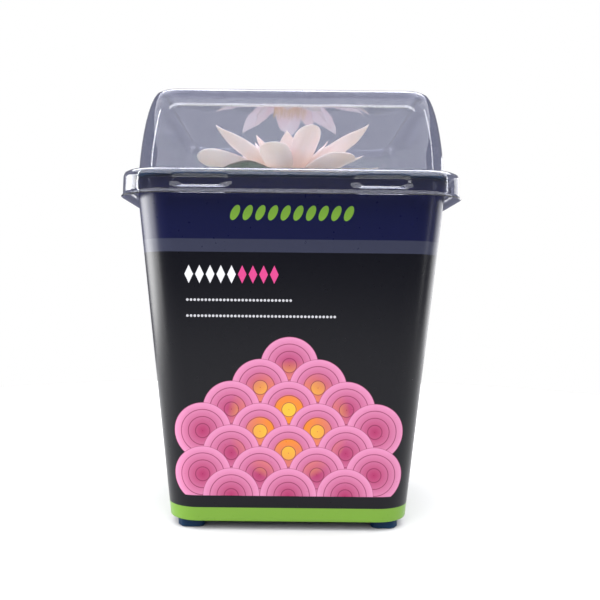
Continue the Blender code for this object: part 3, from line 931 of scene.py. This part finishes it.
def make_petal(blank, whorl, petal):
    height, distance = WHORLS[whorl][:2]
    bearing, rise, roll, length, width = petal
    cup = math.degrees(4 * math.atan(2 * 0.22)) * 0.85
    sweep = math.degrees(4 * math.atan(2 * 0.05))
    piece = blank.copy()
    piece.data = blank.data.copy()
    bpy.context.scene.collection.objects.link(piece)
    piece.scale = (width / 1000 * 1.08, 1.0, length / 1000)
    apply_place(piece)
    add_modifier(piece, "SIMPLE_DEFORM", deform_method="BEND", deform_axis="Z", angle=-math.radians(cup))
    add_modifier(piece, "SIMPLE_DEFORM", deform_method="BEND", deform_axis="X", angle=-math.radians(sweep))
    piece.rotation_euler = (-math.pi / 2 - math.radians(sweep / 2), 0.0, 0.0)
    apply_place(piece)
    turn = math.radians(bearing)
    out = Vector((math.cos(turn), math.sin(turn), 0.0))
    piece.location = FLOWER_FOOT + out * distance + Vector((0.0, 0.0, height))
    piece.rotation_mode = "YXZ"
    piece.rotation_euler = (math.radians(rise), math.radians(roll), turn - math.pi / 2)
    apply_place(piece)
    add_modifier(piece, "DISPLACE", texture=petal_waves, texture_coords="GLOBAL", strength=0.0012,
                 mid_level=0.5)
    add_modifier(piece, "SOLIDIFY", thickness=PETAL_THICKNESS * 0.75, offset=0.0)
    add_modifier(piece, "SUBSURF", levels=1, render_levels=1)
    smooth(piece, 180)
    side = piece.data.attributes.new("upper_side", "FLOAT", "FACE")
    side.data.foreach_set("value", [float(face.normal.z > 0) for face in piece.data.polygons])
    return piece


def petal_finish(name, inner_tint, tip_tint, base_tint, upper_tint):
    finish = Finish(name, 0.42, Subsurface_Weight=0.7, Sheen_Weight=0.10)
    finish.shader.inputs["Subsurface Radius"].default_value = (0.0040, 0.0030, 0.0026)
    finish.shader.inputs["Subsurface Scale"].default_value = 1.0
    u, v, _ = finish.place("UV")
    streak = finish.noise(1.0, detail=5.0, stretch=(46.0, 2.2, 1.0), source="UV")
    cloud = finish.noise(70.0, detail=3.0)
    tissue = finish.lay(inner_tint, tip_tint, (cloud * 0.5 + v * 0.6).math("SUBTRACT", 0.15, clamp=True))
    tissue = finish.lay(tissue, base_tint, v.below(0.20, 0.45) * 0.8)
    tissue = finish.lay(tissue, base_tint, (streak ** 3.0) * 0.55)
    tissue = finish.lay(tissue, upper_tint, finish.attribute("upper_side") * (v * -0.3 + 0.8))
    finish.colour(tissue)
    finish.roughness(cloud * 0.2 + 0.34)
    finish.bump(streak, 0.00025)
    return finish


petal_waves = cloud_texture("petal_waves", 0.011, depth=1)
blanks = {True: petal_blank("round_blank", True), False: petal_blank("pointed_blank", False)}
PINK_TISSUE = petal_finish(
    "petal_tissue", (0.87, 0.74, 0.76), (0.94, 0.82, 0.63), (0.92, 0.48, 0.22), (0.80, 0.46, 0.50))
SEPAL_TISSUE = petal_finish(
    "sepal_tissue", (0.66, 0.56, 0.46), (0.52, 0.52, 0.30), (0.30, 0.33, 0.12), (0.80, 0.60, 0.58))
for whorl, (_, _, petals) in WHORLS.items():
    for number, petal in enumerate(petals, start=1):
        node = f"{whorl}_{number}"
        blade = make_petal(blanks[node in ROUND_ENDED], whorl, petal)
        tissue = SEPAL_TISSUE if whorl == "sepal" else PINK_TISSUE
        hand_in(blade, f"{node}_blade", "sepal_green" if whorl == "sepal" else "petal_pink", tissue, node)
for blank in blanks.values():
    bpy.data.objects.remove(blank)


# Stamens: a crown of 76 flat golden filaments with thicker anthers, in four rings on a low disc. One is
# modelled, then copied and turned into place.
STAMEN_RINGS = (
    # (how many, distance from the axis, length, lean outwards in degrees)
    (26, 0.0042, 0.0170, 24), (24, 0.0034, 0.0160, 14), (18, 0.0024, 0.0135, 5), (8, 0.0012, 0.0105, 2))
STAMEN_STRETCHES = (
    # (climb as a share of the length, how far it curls in, how it widens, how it thickens)
    (0.30, -0.0004, 0.9, 1.0), (0.26, -0.0001, 0.85, 1.0), (0.12, 0.0003, 0.85, 1.5),
    (0.20, 0.0009, 0.95, 1.0), (0.12, 0.0008, 0.35, 0.45))
DISC_RADIUS, DISC_TALL = 0.0046, 0.0012


def stamen_blank():
    bpy.ops.object.select_all(action="DESELECT")
    bpy.ops.mesh.primitive_plane_add(size=1.0)
    blank = bpy.context.object
    blank.scale = (0.00135, 0.0005, 1.0)
    apply_place(blank)
    edit(blank)
    bpy.ops.mesh.select_mode(type="FACE")
    bpy.ops.mesh.select_all(action="SELECT")
    for climb, curl, wide, thick in STAMEN_STRETCHES:
        bpy.ops.mesh.extrude_region_move(TRANSFORM_OT_translate={"value": (0.0, -curl, climb)})
        bpy.ops.transform.resize(value=(wide, thick, 1.0))
    leave_edit()
    return blank


def make_stamens():
    draw = random.Random(3)
    blank = stamen_blank()
    collar = FLOWER_FOOT + Vector((0.0, 0.0, RECEPTACLE_TOP + CLEARANCE))
    crown = []
    for count, distance, length, lean in STAMEN_RINGS:
        for number in range(count):
            stamen = blank.copy()
            stamen.data = blank.data.copy()
            bpy.context.scene.collection.objects.link(stamen)
            turn = math.tau * (number + draw.uniform(-0.25, 0.25)) / count
            out = Vector((math.cos(turn), math.sin(turn), 0.0))
            stamen.scale = (1.0, 1.0, length * draw.uniform(0.90, 1.0))
            stamen.rotation_euler = (-math.radians(lean + draw.uniform(-4, 4)), 0.0, turn - math.pi / 2)
            stamen.location = collar + out * distance
            apply_place(stamen)
            crown.append(stamen)
    bpy.data.objects.remove(blank)
    bpy.ops.object.select_all(action="DESELECT")
    bpy.ops.mesh.primitive_cylinder_add(vertices=40, radius=DISC_RADIUS, depth=DISC_TALL,
                                        location=collar + Vector((0.0, 0.0, DISC_TALL / 2)))
    disc = bpy.context.object
    edit(disc)
    pick("FACE", lambda face: face.normal.z > 0.9)
    bpy.ops.mesh.inset(thickness=0.0012)
    bpy.ops.mesh.inset(thickness=0.0012)
    bpy.ops.transform.translate(value=(0.0, 0.0, -0.0003))
    leave_edit()
    apply_place(disc)
    select_only(disc, *crown)
    bpy.ops.object.join()
    add_modifier(disc, "SUBSURF", levels=1, render_levels=1)
    smooth(disc, 60)
    return disc


def stamen_finish():
    finish = Finish("golden_stamens", 0.5, Subsurface_Weight=0.15)
    finish.shader.inputs["Subsurface Radius"].default_value = (0.0015, 0.0010, 0.0004)
    _, _, z = finish.place()
    height = ((z - (FLOWER_FOOT.z + RECEPTACLE_TOP)) / 0.017).math("MAXIMUM", 0.0, clamp=True)
    grain = finish.noise(700.0)
    gold = finish.lay((0.80, 0.33, 0.030), (0.90, 0.62, 0.110), height)
    finish.colour(finish.lay(gold, (0.62, 0.24, 0.020), (grain * height) ** 1.5))
    finish.bump(finish.noise(2500.0), 0.0001)
    return finish


hand_in(make_stamens(), "crown_of_stamens", "stamen_yellow", stamen_finish(), "stamens")


# Lid: a dome formed from thin clear sheet. Its roof is sunk to take the foot of the next tub, its walls
# bulge, and a ledge, a skirt with eight holding dents and a flared lip go over the tub's rim.
LID_WALL = 0.0006
LID_CREST = 0.2205
LID_SKIRT_HALF = 0.0838
LID_SKIRT_HEIGHTS = (0.1684, 0.1756)
LID_RUN_CUTS, LID_SKIRT_CUTS = 130, 15  # the dents need a fine mesh
DENT_DEPTH = 0.0015
DENT_PLACE = (0.0430, 0.1725)
DENT_HALF = (0.0130, 0.0024)
DENT_SLOPE = 0.0011


def dome_levels():
    """The walls of the dome, from under the crest down to the ledge."""
    levels = []
    for step in range(9):
        rise = math.sin(math.radians(76 - 9.5 * step)) if step < 8 else 0.0
        lean = 1 - math.sqrt(1 - rise**2)
        half = 0.0767 - 0.0022 * rise - 0.0075 * lean
        corner = 0.0175 - 0.0013 * rise - 0.0046 * lean
        levels.append((half, corner, 0.1800 + 0.0405 * rise))
    return levels


def make_lid():
    # The sunk roof, up to the crest
    levels = [
        (0.0605, 0.0080, 0.2143), (0.0611, 0.0084, 0.2144), (0.0617, 0.0088, 0.2150),
        (0.0628, 0.0094, 0.2175), (0.0639, 0.0100, 0.2199), (0.0645, 0.0103, 0.22035),
        (0.0655, 0.0109, LID_CREST), (0.0666, 0.0115, LID_CREST - 0.0001),
        (0.0676, 0.0120, LID_CREST - 0.0004)]
    levels += [level for level in dome_levels() if level[2] < LID_CREST - 0.0008]
    # The ledge, the skirt and the flared lip
    levels += [
        (0.0768, 0.01755, 0.1793), (0.0773, 0.0178, 0.1789), (0.0779, 0.0180, 0.17885),
        (0.0800, 0.0192, 0.1788), (0.0820, 0.0202, 0.1787), (0.0830, 0.0207, 0.1781),
        (0.0835, 0.02095, 0.1768), (0.0836, 0.0210, 0.1755), (LID_SKIRT_HALF, 0.0212, 0.1685),
        (0.0839, 0.0213, 0.1678), (0.0841, 0.0215, 0.1673), (0.0846, 0.0218, 0.1668)]
    lid = square_skin("lid", levels, closed_end_faces_up=True)
    split_long_runs(lid, 0.05, LID_RUN_CUTS)
    low, high = LID_SKIRT_HEIGHTS
    edit(lid)
    # A narrow border round the roof's floor keeps it flat to the light.
    pick("FACE", lambda face: len(face.verts) > 4)
    bpy.ops.mesh.inset(thickness=0.0012)
    pick("EDGE", lambda edge: all(low < v.co.z < high for v in edge.verts)
         and abs(edge.verts[0].co.z - edge.verts[1].co.z) > 0.005)
    bpy.ops.mesh.subdivide(number_cuts=LID_SKIRT_CUTS)
    leave_edit()
    press_dents(lid)
    add_modifier(lid, "SOLIDIFY", thickness=LID_WALL, offset=-1.0, use_even_offset=True)
    smooth(lid, 50)
    return lid


def press_dents(lid):
    """Pushes the pill-shaped holding dents into the skirt, two on each side."""
    low, high = LID_SKIRT_HEIGHTS
    for vert in lid.data.vertices:
        x, y, z = vert.co
        if not low < z < high or max(abs(x), abs(y)) < LID_SKIRT_HALF - 0.001:
            continue
        along, side = (x, 1) if abs(y) > abs(x) else (y, 0)
        past = max(abs(abs(along) - DENT_PLACE[0]) - DENT_HALF[0] + DENT_HALF[1], 0.0)
        from_core = math.hypot(past, z - DENT_PLACE[1])
        share = min(max((DENT_HALF[1] - from_core) / DENT_SLOPE + 0.40, 0.0), 1.0)
        vert.co[side] -= math.copysign(DENT_DEPTH * share * share * (3 - 2 * share), vert.co[side])


def clear_sheet():
    finish = Finish("clear_sheet", 0.02, Transmission_Weight=1.0, IOR=1.50)
    sheet = finish.lay((0.86, 0.87, 0.93), (0.89, 0.90, 0.95), finish.noise(30.0))
    # Painted shade: the tint is made deeper round the crest to darken the band seen through the roof there.
    # The sheet itself is no different there.
    _, _, z = finish.place()
    finish.colour(finish.lay(sheet, (0.66, 0.67, 0.77), (-z).below(-0.2153, 0.0016)))
    scuff = finish.noise(1.0, detail=5.0, stretch=(160.0, 160.0, 900.0))
    finish.roughness((scuff ** 6.0) * 0.25 + 0.015)
    finish.bump(finish.noise(55.0, detail=1.0), 0.0008, strength=0.10)
    return finish


hand_in(make_lid(), "clear_dome_lid", "clear_plastic", clear_sheet(), "lid")


# Studio: a pale floor under a wide soft overhead light, with soft walls of light beside the part and a
# thin strip in front. The sky is white to the camera, and a grey lilac to what the plastic shows.
def soft_light(name, place, size, watts, spread=180, in_plastic=True):
    light = bpy.data.lights.new(name, "AREA")
    light.shape = "RECTANGLE"
    light.size, light.size_y = size
    light.energy = watts
    light.spread = math.radians(spread)
    lamp = bpy.data.objects.new(name, light)
    lamp.location = place
    lamp.rotation_euler = (Vector((0.0, 0.0, 0.12)) - lamp.location).to_track_quat("-Z", "Y").to_euler()
    lamp.visible_camera = False
    lamp.visible_transmission = in_plastic
    bpy.context.scene.collection.objects.link(lamp)


def make_floor():
    bpy.ops.object.select_all(action="DESELECT")
    bpy.ops.mesh.primitive_circle_add(vertices=128, radius=0.60, fill_type="NGON")
    floor = bpy.context.object
    floor.name = "floor"
    finish = Finish("pale_floor", 0.9)
    finish.colour(finish.lay((0.46, 0.46, 0.46), (0.48, 0.48, 0.48), finish.noise(4.0)))
    floor.data.materials.append(finish.material)


def make_sky():
    world = bpy.data.worlds.new("studio")
    world.use_nodes = True
    tree = world.node_tree
    seen = tree.nodes.new("ShaderNodeLightPath")
    mix = tree.nodes.new("ShaderNodeMix")
    mix.data_type = "RGBA"
    background = tree.nodes["Background"]
    colours = [entry for entry in mix.inputs if entry.type == "RGBA"]
    colours[0].default_value = (0.23, 0.235, 0.30, 1.0)
    colours[1].default_value = (1.0, 1.0, 1.0, 1.0)
    tree.links.new(seen.outputs["Is Camera Ray"], mix.inputs["Factor"])
    tree.links.new(next(exit for exit in mix.outputs if exit.type == "RGBA"), background.inputs["Color"])
    bpy.context.scene.world = world


make_floor()
make_sky()
soft_sky = bpy.data.lights.new("overhead_light", "SUN")
soft_sky.energy = 9.6
soft_sky.angle = math.radians(124)
overhead = bpy.data.objects.new("overhead_light", soft_sky)
overhead.rotation_euler = (math.radians(12), 0.0, 0.0)
overhead.visible_glossy = False
bpy.context.scene.collection.objects.link(overhead)
soft_light("front_strip", (0.0, -0.68, 0.883), (0.90, 0.055), 0.75)
soft_light("left_wall", (-0.66, 0.09, 0.11), (0.90, 0.46), 3.0, spread=72, in_plastic=False)
soft_light("left_strip", (-0.80, -0.30, 0.30), (0.05, 0.90), 1.8)
soft_light("right_strip", (0.80, -0.20, 0.30), (0.05, 0.90), 1.0)
soft_light("back_right_wall", (0.50, 0.35, 0.17), (0.50, 0.34), 1.5, in_plastic=False)
bpy.context.scene.view_settings.view_transform = "Standard"
